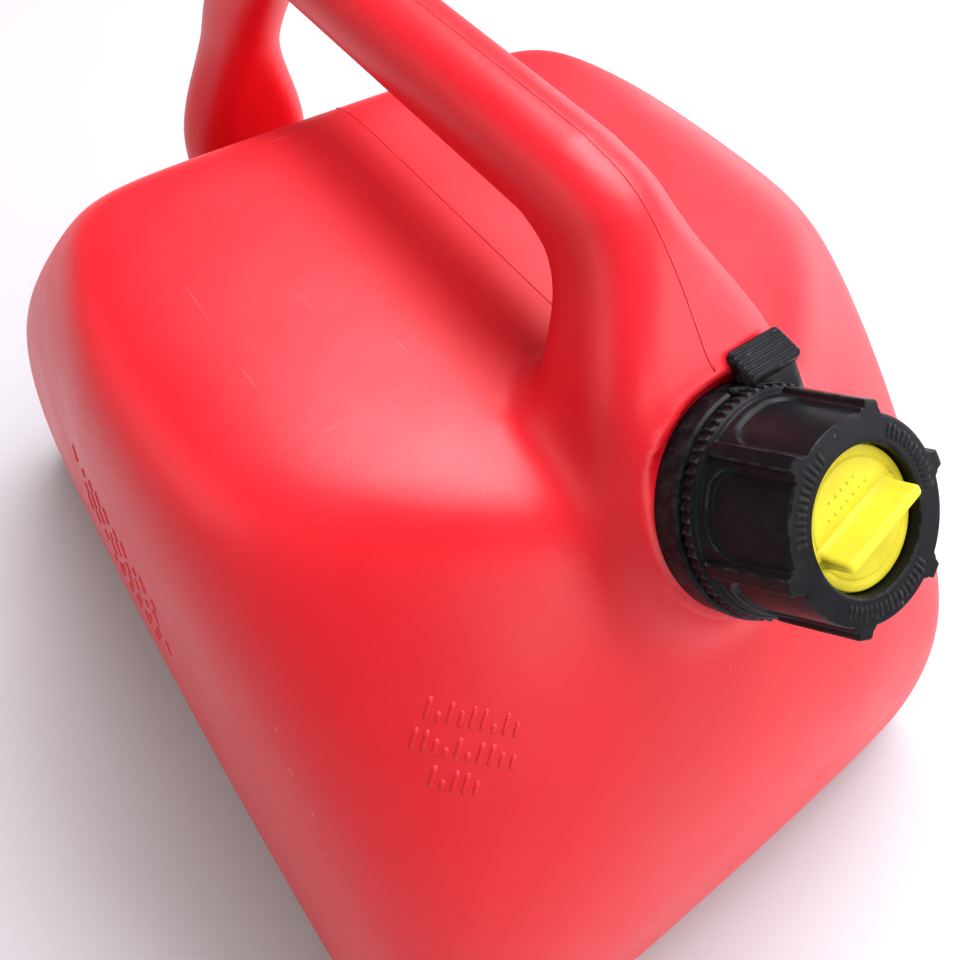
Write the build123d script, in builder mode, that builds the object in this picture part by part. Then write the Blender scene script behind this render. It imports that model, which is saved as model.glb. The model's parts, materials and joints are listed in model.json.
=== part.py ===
from build123d import *
from math import cos, radians, sin
import os

os.makedirs("parts", exist_ok=True)

# A 20 litre moulded fuel can. Millimetres, +Z up, origin on the ground under the centre of the tank.
# The handle lies in the XZ plane, and the filler neck leans towards +X.

# Tank
TANK_LENGTH = 396.0
TANK_WIDTH = 288.0
CROWN_HEIGHT = 240.0
WALL = 2.6
SHOULDER_ROUND = 32.0
FOOT_ROUND = 12.0
CROWN_REAR_X = -89.0
REAR_WALL_TOP = 146.0
CROWN_FRONT_X = 138.0
FRONT_WALL_TOP = 150.0
# Slanting facets on both sides, each under slope_x * x + slope_y * |y| + z = height
FACETS = [
    {"slope_x": 0.66, "slope_y": 0.62, "height": 358.0},
    {"slope_x": 1.13, "slope_y": 0.70, "height": 423.0},
    {"slope_x": -0.76, "slope_y": 1.25, "height": 450.0},
]
FOOT_RECESS = 3.0
FOOT_RIM = 46.0

# Handle
BAR_TOP = 312.0
BAR_RADIUS = 17.5
BAR_BEND = 30.0
BAR_FRONT_X = 64.0
BAR_REAR_X = -132.0
LEG_FOOT = (106.0, 205.0)
STRUT_KNEE = (-179.0, 200.0)
STRUT_FOOT = (-180.0, 140.0)
LEG_ROOT_RADIUS = 30.0
LEG_ROOT = (106.0, 232.0)
FIN_WIDTH = 26.0
FIN_TOP_UP = 73.0

# Filler neck. Lengths along the neck are counted from the seat of the lock ring.
NECK_ANGLE = 41.0
SEAT = (145.2, 239.2)
BOSS_RADIUS = 35.5
BOSS_ROOT_RADIUS = 47.0
BOSS_LENGTH = 46.0
NECK_RADIUS = 23.0
NECK_BORE = 19.5
NECK_LIP = 32.5
THREAD_DEPTH = 0.9
THREAD_WIDTH = 1.8
THREAD_PITCH = 5.0
THREAD_START = 15.0
THREAD_TURNS = 3

# Lock ring and its sprung tab
RING_RADIUS = 34.0
RING_HEIGHT = 9.0
RING_FLOOR = 3.5
RING_CHAMFER = 0.8
LUG_CENTRE = 35.0
LUG_LENGTH = 8.0
LUG_WIDTH = 11.0
LUG_ROUND = 2.0
LUG_HEIGHT = 4.0
POCKET_RADIUS = 29.6
POCKET_START = -48.0
POCKET_END = 3.0
TAB_INNER = 30.4
TAB_OUTER = 33.4
TAB_START = -45.0
TAB_END = -4.0
TAB_BOTTOM = 4.0
PAD_NEAR = 5.5
PAD_FAR = 25.5
PAD_FRONT = (33.0, 9.4)
PAD_BACK = (40.5, 2.2)
PAD_THICKNESS = 2.2
PAD_UNDERCUT = 0.2
PAD_RIDGES = 5
PAD_RIDGE_RADIUS = 0.55
WEB_INNER = 29.0
WEB_REACH = 36.5
WEB_TOP = 8.0
FIT_GAP = 0.05
CUT_ROOM = 2.0

# Screw collar
COLLAR_START = 9.4
COLLAR_FLANGE = 14.0
COLLAR_FACE = 44.0
COLLAR_BORE = 24.3
FLANGE_RADIUS = 32.2
SKIRT_BASE_RADIUS = 29.4
SKIRT_TOP_RADIUS = 27.4
COLLAR_STEP = 1.0
FACE_HOLE_RADIUS = 19.4
WEB_BOTTOM = 38.2
RIBS = 6
RIB_FIRST_ANGLE = -25.0
RIB_WIDTH = 6.5
RIB_TOP_WIDTH = 5.5
RIB_ROOT = 25.8
RIB_BASE_REACH = 32.4
RIB_TOP_REACH = 29.6
TEETH = 64
TOOTH_REACH = 0.9
TOOTH_WIDTH = 1.6
TOOTH_ROOT = 1.0
TOOTH_START = 10.0
TOOTH_HEIGHT = 3.2

# What the collar clamps on the lip, from the lip upwards
SPOUT_GASKET = 1.0
SPOUT_FLANGE = 2.5
STOPPER_GASKET = 1.0
STOPPER_FLANGE = 1.2
CLAMP_RADIUS = 22.8
STOPPER_RADIUS = 18.9
STOPPER_FACE = 40.6
GRIP_TOP = 46.8
GRIP_LENGTH = 33.0
GRIP_WIDTH = 9.0
GRIP_CREST = 2.4
GRIP_ROOT = 0.5
GRIP_ANGLE = -78.0

# Pouring spout, stored nose down inside the tank
SOCKET_RADIUS = 18.6
SOCKET_WALL = 2.0
SOCKET_END = 4.0
BELLOWS_RADIUS = 16.2
BELLOWS_ROOT = 14.2
BELLOWS_WALL = 1.4
BELLOWS_PITCH = 6.0
BELLOWS_TURNS = 14
BELLOWS_GROOVE_AT = 0.25
BELLOWS_CREST_AT = 0.75
CUFF_LENGTH = 10.0
NOZZLE_LENGTH = 58.0
NOZZLE_ROOT_RADIUS = 12.4
NOZZLE_TIP_RADIUS = 10.4
NOZZLE_WALL = 1.8
NOZZLE_COLLAR = 2.0
NOZZLE_STEP = 1.0
VENT_RADIUS = 3.0
VENT_WALL = 0.8
VENT_MARGIN = 4.0
SCREEN_WIRE = 0.7
SCREEN_PITCH = 4.2
SCREEN_WIRES = 7
SCREEN_HEIGHT = 24.0
SCREEN_RIM = 1.2
SCREEN_RIM_HEIGHT = 3.0
CAP_LENGTH = 16.0
CAP_WALL = 1.6
CAP_RIM = 1.2
CAP_RIM_HEIGHT = 2.0
CAP_CLEARANCE = 0.08

AXIS = Vector(cos(radians(NECK_ANGLE)), 0, sin(radians(NECK_ANGLE)))
UP_SLOPE = Vector(-AXIS.Z, 0, AXIS.X)
SEAT_POINT = Vector(SEAT[0], 0, SEAT[1])
NECK_AXIS = Axis(SEAT_POINT, AXIS)


def neck_plane(height):
    """Plane square to the neck at a height above the seat; its X axis points up the slope."""
    return Plane(origin=SEAT_POINT + AXIS * height, x_dir=UP_SLOPE, z_dir=AXIS)


def side_point(up, height):
    """Point in the can's middle plane, up the slope and along the neck from the seat's centre."""
    point = SEAT_POINT + UP_SLOPE * up + AXIS * height
    return (point.X, point.Z)


def neck_profile():
    """Plane of half-sections through the neck: X is the radius and Y the height above the seat."""
    return Plane(origin=SEAT_POINT, x_dir=UP_SLOPE, z_dir=Vector(0, 1, 0))


def turned(points):
    """Solid of revolution about the neck from a closed outline of (radius, height) points."""
    with BuildPart() as body:
        with BuildSketch(neck_profile()):
            with BuildLine():
                Polyline(*points, close=True)
            make_face()
        revolve(axis=NECK_AXIS)
    return body.part


def tube(outer, inner, bottom, top):
    """Plain tube round the neck axis between two heights."""
    return turned([(inner, bottom), (outer, bottom), (outer, top), (inner, top)])


def tank_volume(inset):
    """The tank with its hollow handle, shrunk by an inset so that the inside repeats the outside."""
    half_length = TANK_LENGTH / 2
    with BuildPart() as volume:
        with BuildSketch(Plane.XZ):
            with BuildLine():
                Polyline(
                    (-half_length, 0), (half_length, 0), (half_length, FRONT_WALL_TOP),
                    (CROWN_FRONT_X, CROWN_HEIGHT), (CROWN_REAR_X, CROWN_HEIGHT),
                    (-half_length, REAR_WALL_TOP), close=True,
                )
            make_face()
            if inset:
                offset(amount=-inset, kind=Kind.INTERSECTION, mode=Mode.REPLACE)
        extrude(amount=TANK_WIDTH / 2 - inset, both=True)
        for side in (-1, 1):
            for facet in FACETS:
                normal = Vector(facet["slope_x"], side * facet["slope_y"], 1).normalized()
                cut = Plane(origin=Vector(0, 0, facet["height"]) - normal * inset, z_dir=normal)
                split(bisect_by=cut, keep=Keep.BOTTOM)
        foot = volume.edges().group_by(Axis.Z)[0]
        fillet(volume.edges() - foot, SHOULDER_ROUND - inset)
        fillet(volume.edges().group_by(Axis.Z)[0], FOOT_ROUND - inset)
        with BuildSketch(Plane.XY):
            RectangleRounded(
                TANK_LENGTH - 2 * (FOOT_RIM - inset), TANK_WIDTH - 2 * (FOOT_RIM - inset), FOOT_ROUND,
            )
        extrude(amount=FOOT_RECESS + inset, mode=Mode.SUBTRACT)
        # neck boss, leaning forward
        with BuildSketch(neck_plane(-BOSS_LENGTH)):
            Circle(BOSS_ROOT_RADIUS - inset)
        with BuildSketch(neck_plane(-inset)):
            Circle(BOSS_RADIUS - inset)
        loft()
        # handle bar with its front leg and rear strut
        bar_height = BAR_TOP - BAR_RADIUS
        with BuildLine(Plane.XZ) as route:
            FilletPolyline(
                LEG_FOOT, (BAR_FRONT_X, bar_height), (BAR_REAR_X, bar_height), STRUT_KNEE, STRUT_FOOT,
                radius=BAR_BEND,
            )
        with BuildSketch(Plane(origin=route.line @ 0, z_dir=route.line % 0)):
            Circle(BAR_RADIUS - inset)
        sweep()
        # front leg, widening from the bar to the neck
        leg_top = Vector(BAR_FRONT_X, 0, bar_height)
        leg_root = Vector(LEG_ROOT[0], 0, LEG_ROOT[1])
        with BuildSketch(Plane(origin=leg_top, x_dir=(0, 1, 0), z_dir=leg_root - leg_top)):
            Circle(BAR_RADIUS - inset)
        with BuildSketch(Plane(origin=leg_root, x_dir=(0, 1, 0), z_dir=leg_root - leg_top)):
            Circle(LEG_ROOT_RADIUS - inset)
        loft()
        # fin that joins the bar to the neck
        with BuildSketch(Plane.XZ):
            with BuildLine():
                Polyline(
                    side_point(0, -inset), side_point(FIN_TOP_UP, -inset),
                    (BAR_FRONT_X + inset, bar_height), (LEG_FOOT[0], LEG_FOOT[1]), close=True,
                )
            make_face()
        extrude(amount=FIN_WIDTH / 2 - inset, both=True)
    return volume.part


# 1. Tank: one hollow moulding with its handle and threaded neck
with BuildPart() as tank_shell:
    add(tank_volume(0))
    with BuildSketch(neck_plane(0)):
        Circle(NECK_RADIUS)
    extrude(amount=NECK_LIP)
    for turn in range(THREAD_TURNS):
        with BuildSketch(neck_plane(THREAD_START + turn * THREAD_PITCH)):
            Circle(NECK_RADIUS + THREAD_DEPTH)
        extrude(amount=THREAD_WIDTH)
    add(tank_volume(WALL), mode=Mode.SUBTRACT)
    with BuildSketch(neck_plane(-BOSS_LENGTH / 2)):
        Circle(NECK_BORE)
    extrude(amount=NECK_LIP + BOSS_LENGTH, mode=Mode.SUBTRACT)
tank_shell.part.label = "tank_shell"
export_step(tank_shell.part, "parts/tank_shell.step")


# 2. Lock ring: seated on the boss, with a pocket for its tab and a lug below
def ring_sector(inner, outer, first, last):
    """Flat annular sector between two angles about the neck, in degrees from the top."""
    with BuildSketch() as sector:
        with BuildLine():
            inner_arc = CenterArc((0, 0), inner, first, last - first)
            outer_arc = CenterArc((0, 0), outer, first, last - first)
            Line(inner_arc @ 0, outer_arc @ 0)
            Line(inner_arc @ 1, outer_arc @ 1)
        make_face()
    return sector.sketch


with BuildPart() as lock_ring:
    with BuildSketch(neck_plane(0)):
        Circle(RING_RADIUS)
    extrude(amount=RING_HEIGHT)
    chamfer(lock_ring.faces().sort_by(NECK_AXIS)[-1].edges(), RING_CHAMFER)
    with BuildSketch(neck_plane(0)):
        Circle(NECK_RADIUS + FIT_GAP)
    extrude(amount=RING_HEIGHT, mode=Mode.SUBTRACT)
    with BuildSketch(neck_plane(RING_FLOOR)):
        add(ring_sector(POCKET_RADIUS, RING_RADIUS + CUT_ROOM, POCKET_START, POCKET_END))
    extrude(amount=RING_HEIGHT, mode=Mode.SUBTRACT)
    with BuildSketch(neck_plane(RING_FLOOR)):
        with Locations((-LUG_CENTRE, 0)):
            RectangleRounded(LUG_LENGTH, LUG_WIDTH, LUG_ROUND)
    extrude(amount=LUG_HEIGHT)
lock_ring.part.label = "lock_ring"
export_step(lock_ring.part, "parts/lock_ring.step")

# 3. Lock tab: curved arm in the ring's pocket, with a ridged thumb pad
with BuildPart() as lock_tab:
    with BuildSketch(neck_plane(TAB_BOTTOM)):
        add(ring_sector(TAB_INNER, TAB_OUTER, TAB_START, TAB_END))
    extrude(amount=RING_HEIGHT - TAB_BOTTOM)
    pad_side = Plane(
        origin=SEAT_POINT + Vector(0, PAD_NEAR, 0), x_dir=UP_SLOPE, z_dir=Vector(0, 1, 0)
    )
    slope = Vector(PAD_BACK[0] - PAD_FRONT[0], PAD_BACK[1] - PAD_FRONT[1])
    across = Vector(-slope.Y, slope.X).normalized()
    with BuildSketch(pad_side):
        with BuildLine():
            start = Vector(*PAD_FRONT)
            Polyline(
                start, start + slope, start + slope - across * PAD_THICKNESS,
                start - across * PAD_THICKNESS - slope * PAD_UNDERCUT, close=True,
            )
        make_face()
        for ridge in range(PAD_RIDGES):
            middle = start + slope * ((ridge + 0.5) / PAD_RIDGES)
            with Locations((middle.X, middle.Y)):
                Circle(PAD_RIDGE_RADIUS)
    extrude(amount=PAD_FAR - PAD_NEAR)
    with BuildSketch(pad_side):
        with BuildLine():
            Polyline(
                (WEB_INNER, TAB_BOTTOM), (PAD_FRONT[0], TAB_BOTTOM), (WEB_REACH, TAB_BOTTOM),
                (PAD_FRONT[0], WEB_TOP), (WEB_INNER, WEB_TOP), close=True,
            )
        make_face()
    extrude(amount=PAD_FAR - PAD_NEAR)
    with BuildSketch(neck_plane(0)):
        Circle(TAB_INNER)
    extrude(amount=2 * RING_HEIGHT, mode=Mode.SUBTRACT)
lock_tab.part.label = "lock_tab"
export_step(lock_tab.part, "parts/lock_tab.step")

# 4. Screw collar: ribbed skirt, toothed flange and an open face
with BuildPart() as screw_collar:
    add(turned([
        (COLLAR_BORE, COLLAR_START), (FLANGE_RADIUS, COLLAR_START), (FLANGE_RADIUS, COLLAR_FLANGE),
        (SKIRT_BASE_RADIUS, COLLAR_FLANGE + COLLAR_STEP), (SKIRT_TOP_RADIUS, COLLAR_FACE - COLLAR_STEP),
        (SKIRT_TOP_RADIUS - COLLAR_STEP, COLLAR_FACE), (FACE_HOLE_RADIUS, COLLAR_FACE),
        (FACE_HOLE_RADIUS, WEB_BOTTOM), (COLLAR_BORE, WEB_BOTTOM),
    ]))
    for rib in range(RIBS):
        rib_angle = RIB_FIRST_ANGLE + rib * 360 / RIBS
        with BuildSketch(neck_plane(COLLAR_FLANGE - COLLAR_STEP)):
            with PolarLocations((RIB_ROOT + RIB_BASE_REACH) / 2, 1, start_angle=rib_angle):
                Rectangle(RIB_BASE_REACH - RIB_ROOT, RIB_WIDTH)
        with BuildSketch(neck_plane(COLLAR_FACE)):
            with PolarLocations((RIB_ROOT + RIB_TOP_REACH) / 2, 1, start_angle=rib_angle):
                Rectangle(RIB_TOP_REACH - RIB_ROOT, RIB_TOP_WIDTH)
        loft()
    with BuildSketch(neck_plane(TOOTH_START)):
        with PolarLocations(FLANGE_RADIUS + (TOOTH_REACH - TOOTH_ROOT) / 2, TEETH):
            Rectangle(TOOTH_REACH + TOOTH_ROOT, TOOTH_WIDTH)
    extrude(amount=TOOTH_HEIGHT)
screw_collar.part.label = "screw_collar"
export_step(screw_collar.part, "parts/screw_collar.step")

# 5. What the collar clamps on the neck's lip, stacked upwards
spout_flange_bottom = NECK_LIP + SPOUT_GASKET
stopper_gasket_bottom = spout_flange_bottom + SPOUT_FLANGE
stopper_bottom = stopper_gasket_bottom + STOPPER_GASKET
stopper_shoulder = stopper_bottom + STOPPER_FLANGE

with BuildPart() as spout_gasket:
    add(tube(CLAMP_RADIUS, NECK_BORE, NECK_LIP, spout_flange_bottom))
spout_gasket.part.label = "spout_gasket"
export_step(spout_gasket.part, "parts/spout_gasket.step")

with BuildPart() as stopper_gasket:
    add(tube(CLAMP_RADIUS, SOCKET_RADIUS, stopper_gasket_bottom, stopper_bottom))
stopper_gasket.part.label = "stopper_gasket"
export_step(stopper_gasket.part, "parts/stopper_gasket.step")

# 6. Stopper disc with a wedge-shaped grip bar
with BuildPart() as stopper_disc:
    with BuildSketch(neck_plane(stopper_bottom)):
        Circle(CLAMP_RADIUS)
    extrude(amount=STOPPER_FLANGE)
    with BuildSketch(neck_plane(stopper_shoulder)):
        Circle(STOPPER_RADIUS)
    extrude(amount=STOPPER_FACE - stopper_shoulder)
    with BuildSketch(neck_plane(STOPPER_FACE - GRIP_ROOT)):
        with PolarLocations(0, 1, start_angle=GRIP_ANGLE):
            Rectangle(GRIP_LENGTH, GRIP_WIDTH)
    with BuildSketch(neck_plane(GRIP_TOP)):
        with PolarLocations(0, 1, start_angle=GRIP_ANGLE):
            Rectangle(GRIP_LENGTH - GRIP_CREST, GRIP_CREST)
    loft()
stopper_disc.part.label = "stopper_disc"
export_step(stopper_disc.part, "parts/stopper_disc.step")

# 7. Spout base: flange on the lip and a socket that hangs in the neck
with BuildPart() as spout_base:
    add(turned([
        (SOCKET_RADIUS - SOCKET_WALL, SOCKET_END), (SOCKET_RADIUS, SOCKET_END),
        (SOCKET_RADIUS, spout_flange_bottom), (CLAMP_RADIUS, spout_flange_bottom),
        (CLAMP_RADIUS, stopper_gasket_bottom), (SOCKET_RADIUS - SOCKET_WALL, stopper_gasket_bottom),
    ]))
spout_base.part.label = "spout_base"
export_step(spout_base.part, "parts/spout_base.step")

# 8. Flame screen: a rimmed grid across the socket
screen_radius = SOCKET_RADIUS - SOCKET_WALL - FIT_GAP
with BuildPart() as flame_screen:
    with BuildSketch(neck_plane(SCREEN_HEIGHT)):
        with GridLocations(SCREEN_PITCH, 0, SCREEN_WIRES, 1):
            Rectangle(SCREEN_WIRE, 2 * screen_radius)
        with GridLocations(0, SCREEN_PITCH, 1, SCREEN_WIRES):
            Rectangle(2 * screen_radius, SCREEN_WIRE)
        Circle(screen_radius, mode=Mode.INTERSECT)
    extrude(amount=SCREEN_WIRE)
    add(tube(screen_radius, screen_radius - SCREEN_RIM, SCREEN_HEIGHT, SCREEN_HEIGHT + SCREEN_RIM_HEIGHT))
flame_screen.part.label = "flame_screen"
export_step(flame_screen.part, "parts/flame_screen.step")

# 9. Spout bellows: a corrugated hose between two plain cuffs
cuff_radius = SOCKET_RADIUS - SOCKET_WALL - FIT_GAP
bellows_end = SOCKET_END - BELLOWS_PITCH * BELLOWS_TURNS
hose_outer = [(cuff_radius, SOCKET_END + CUFF_LENGTH), (cuff_radius, SOCKET_END)]
for turn in range(BELLOWS_TURNS):
    top = SOCKET_END - turn * BELLOWS_PITCH
    hose_outer.append((BELLOWS_ROOT, top - BELLOWS_PITCH * BELLOWS_GROOVE_AT))
    hose_outer.append((BELLOWS_RADIUS, top - BELLOWS_PITCH * BELLOWS_CREST_AT))
hose_outer += [(BELLOWS_ROOT, bellows_end), (BELLOWS_ROOT, bellows_end - CUFF_LENGTH)]
hose_inner = [(radius - BELLOWS_WALL, height) for radius, height in reversed(hose_outer)]
with BuildPart() as spout_bellows:
    add(turned(hose_outer + hose_inner))
spout_bellows.part.label = "spout_bellows"
export_step(spout_bellows.part, "parts/spout_bellows.step")

# 10. Nozzle: plugged into the lower cuff, tapering to a plain tip
cuff_end = bellows_end - CUFF_LENGTH
nozzle_end = cuff_end - NOZZLE_LENGTH
tip_start = nozzle_end + CAP_LENGTH + CAP_RIM_HEIGHT
plug_radius = BELLOWS_ROOT - BELLOWS_WALL - FIT_GAP
with BuildPart() as spout_nozzle:
    add(turned([
        (plug_radius, bellows_end), (plug_radius, cuff_end), (BELLOWS_ROOT, cuff_end),
        (BELLOWS_ROOT, cuff_end - NOZZLE_COLLAR),
        (NOZZLE_ROOT_RADIUS, cuff_end - NOZZLE_COLLAR - NOZZLE_STEP),
        (NOZZLE_TIP_RADIUS, tip_start), (NOZZLE_TIP_RADIUS, nozzle_end),
        (NOZZLE_TIP_RADIUS - NOZZLE_WALL, nozzle_end), (NOZZLE_TIP_RADIUS - NOZZLE_WALL, tip_start),
        (plug_radius - NOZZLE_WALL, bellows_end),
    ]))
spout_nozzle.part.label = "spout_nozzle"
export_step(spout_nozzle.part, "parts/spout_nozzle.step")

# 11. Vent tube: lets air back into the can while it pours, and lies along the nozzle's wall
vent_offset = NOZZLE_TIP_RADIUS - NOZZLE_WALL - VENT_RADIUS - FIT_GAP
with BuildPart() as vent_tube:
    with BuildSketch(neck_plane(nozzle_end + VENT_MARGIN)):
        with Locations((vent_offset, 0)):
            Circle(VENT_RADIUS)
            Circle(VENT_RADIUS - VENT_WALL, mode=Mode.SUBTRACT)
    extrude(amount=SCREEN_HEIGHT - VENT_MARGIN - nozzle_end - VENT_MARGIN)
vent_tube.part.label = "vent_tube"
export_step(vent_tube.part, "parts/vent_tube.step")

# 12. Tip cap: pushed over the end of the nozzle
cap_inner = NOZZLE_TIP_RADIUS + CAP_CLEARANCE
cap_outer = cap_inner + CAP_WALL
cap_end = nozzle_end + CAP_LENGTH
with BuildPart() as tip_cap:
    add(turned([
        (0, nozzle_end - CAP_WALL), (cap_outer, nozzle_end - CAP_WALL),
        (cap_outer, cap_end - CAP_RIM_HEIGHT), (cap_outer + CAP_RIM, cap_end - CAP_RIM_HEIGHT),
        (cap_outer + CAP_RIM, cap_end), (cap_inner, cap_end), (cap_inner, nozzle_end), (0, nozzle_end),
    ]))
tip_cap.part.label = "tip_cap"
export_step(tip_cap.part, "parts/tip_cap.step")
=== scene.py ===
import json
from math import ceil, cos, pi, radians, sin, sqrt

import bmesh
import bpy
import numpy as np
from mathutils import Matrix, Vector


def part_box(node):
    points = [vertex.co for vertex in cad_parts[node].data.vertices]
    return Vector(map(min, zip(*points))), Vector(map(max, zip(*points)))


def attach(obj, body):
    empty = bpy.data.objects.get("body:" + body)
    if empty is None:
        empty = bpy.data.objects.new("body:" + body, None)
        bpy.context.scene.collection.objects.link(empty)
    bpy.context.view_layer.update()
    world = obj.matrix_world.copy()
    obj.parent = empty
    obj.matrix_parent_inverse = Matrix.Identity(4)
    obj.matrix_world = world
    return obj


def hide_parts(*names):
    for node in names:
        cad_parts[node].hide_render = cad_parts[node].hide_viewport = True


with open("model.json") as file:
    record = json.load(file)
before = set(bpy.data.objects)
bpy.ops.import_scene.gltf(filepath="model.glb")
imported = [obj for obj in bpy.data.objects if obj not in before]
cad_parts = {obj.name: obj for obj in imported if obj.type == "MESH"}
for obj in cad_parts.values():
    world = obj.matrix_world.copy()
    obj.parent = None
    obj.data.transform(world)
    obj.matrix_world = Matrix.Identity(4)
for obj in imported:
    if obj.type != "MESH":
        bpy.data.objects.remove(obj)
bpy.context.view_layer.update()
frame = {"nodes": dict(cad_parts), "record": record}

# ---------------------------------------------------------------------------------------------
# Frame. Shapes are worked out in millimetres and turned into metres when a mesh is made.
# ---------------------------------------------------------------------------------------------
MM = 0.001
tank_low, tank_high = (np.array(corner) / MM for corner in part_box("tank_shell"))
HALF_LENGTH = (tank_high[0] - tank_low[0]) / 2
HALF_WIDTH = (tank_high[1] - tank_low[1]) / 2
BAR_TOP = tank_high[2]
joints = {joint["name"]: joint for joint in frame["record"]["behaviour"]["joints"]}
turn = joints["collar_turn"]
SEAT = np.array(turn["pos_m"]) / MM
AXIS = np.array(turn["axis"]) / np.linalg.norm(turn["axis"])
UP = np.array([-AXIS[2], 0.0, AXIS[0]])
NEAR = np.cross(AXIS, UP)


def along_neck(up, near, height):
    """Points from coordinates up the slope, towards the near side and out along the neck."""
    up, near, height = (np.asarray(value, float)[..., None] for value in (up, near, height))
    return SEAT + up * UP + near * NEAR + height * AXIS


# ---------------------------------------------------------------------------------------------
# Materials
# ---------------------------------------------------------------------------------------------
def new_material(name):
    """Empty node material with its shader; returns the material, its nodes, links and shader."""
    material = bpy.data.materials.new(name)
    material.use_nodes = True
    nodes, links = material.node_tree.nodes, material.node_tree.links
    shader = nodes["Principled BSDF"]
    return material, nodes, links, shader


def noise(nodes, links, source, scale, detail=4.0, roughness=0.55):
    node = nodes.new("ShaderNodeTexNoise")
    node.inputs["Scale"].default_value = scale
    node.inputs["Detail"].default_value = detail
    node.inputs["Roughness"].default_value = roughness
    links.new(source, node.inputs["Vector"])
    return node.outputs["Fac"]


def ramp(nodes, links, factor, stops):
    """Colour ramp with (position, colour) stops."""
    node = nodes.new("ShaderNodeValToRGB")
    links.new(factor, node.inputs["Fac"])
    points = node.color_ramp.elements
    while len(points) < len(stops):
        points.new(0.5)
    for point, (position, colour) in zip(points, stops):
        point.position = position
        point.color = (*colour, 1.0)
    return node.outputs["Color"]


def grey_ramp(nodes, links, factor, low, high, first=0.0, last=1.0):
    """Grey ramp from a first level at low to a last level at high."""
    return ramp(nodes, links, factor, [(low, (first,) * 3), (high, (last,) * 3)])


def mix_colour(nodes, links, factor, first, second):
    node = nodes.new("ShaderNodeMix")
    node.data_type = "RGBA"
    sockets = (node.inputs["Factor"], node.inputs["A"], node.inputs["B"])
    for socket, value in zip(sockets, (factor, first, second)):
        if isinstance(value, bpy.types.NodeSocket):
            links.new(value, socket)
        else:
            socket.default_value = (*value, 1.0)
    return node.outputs["Result"]


def math_node(nodes, links, operation, first, second):
    node = nodes.new("ShaderNodeMath")
    node.operation = operation
    for socket, value in zip(node.inputs, (first, second)):
        if isinstance(value, bpy.types.NodeSocket):
            links.new(value, socket)
        else:
            socket.default_value = value
    return node.outputs["Value"]


def bump(nodes, links, height, strength, distance, normal=None):
    node = nodes.new("ShaderNodeBump")
    node.inputs["Strength"].default_value = strength
    node.inputs["Distance"].default_value = distance
    links.new(height, node.inputs["Height"])
    if normal is not None:
        links.new(normal, node.inputs["Normal"])
    return node.outputs["Normal"]


def object_coordinates(nodes):
    return nodes.new("ShaderNodeTexCoord").outputs["Object"]


TANK_RED = (0.68, 0.0055, 0.0145)
TANK_DEEP = (0.62, 0.004, 0.011)
TANK_RUBBED = (0.92, 0.14, 0.16)
TANK_SCRATCH = (0.95, 0.42, 0.42)
RUB_AMOUNT = 0.35
SCRATCH_AMOUNT = 0.15
PIP_AMOUNT = 0.5
SCRATCH_RUNS = ((0.6, (34.0, 900.0, 150.0)), (-0.75, (820.0, 30.0, 160.0)))


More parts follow.
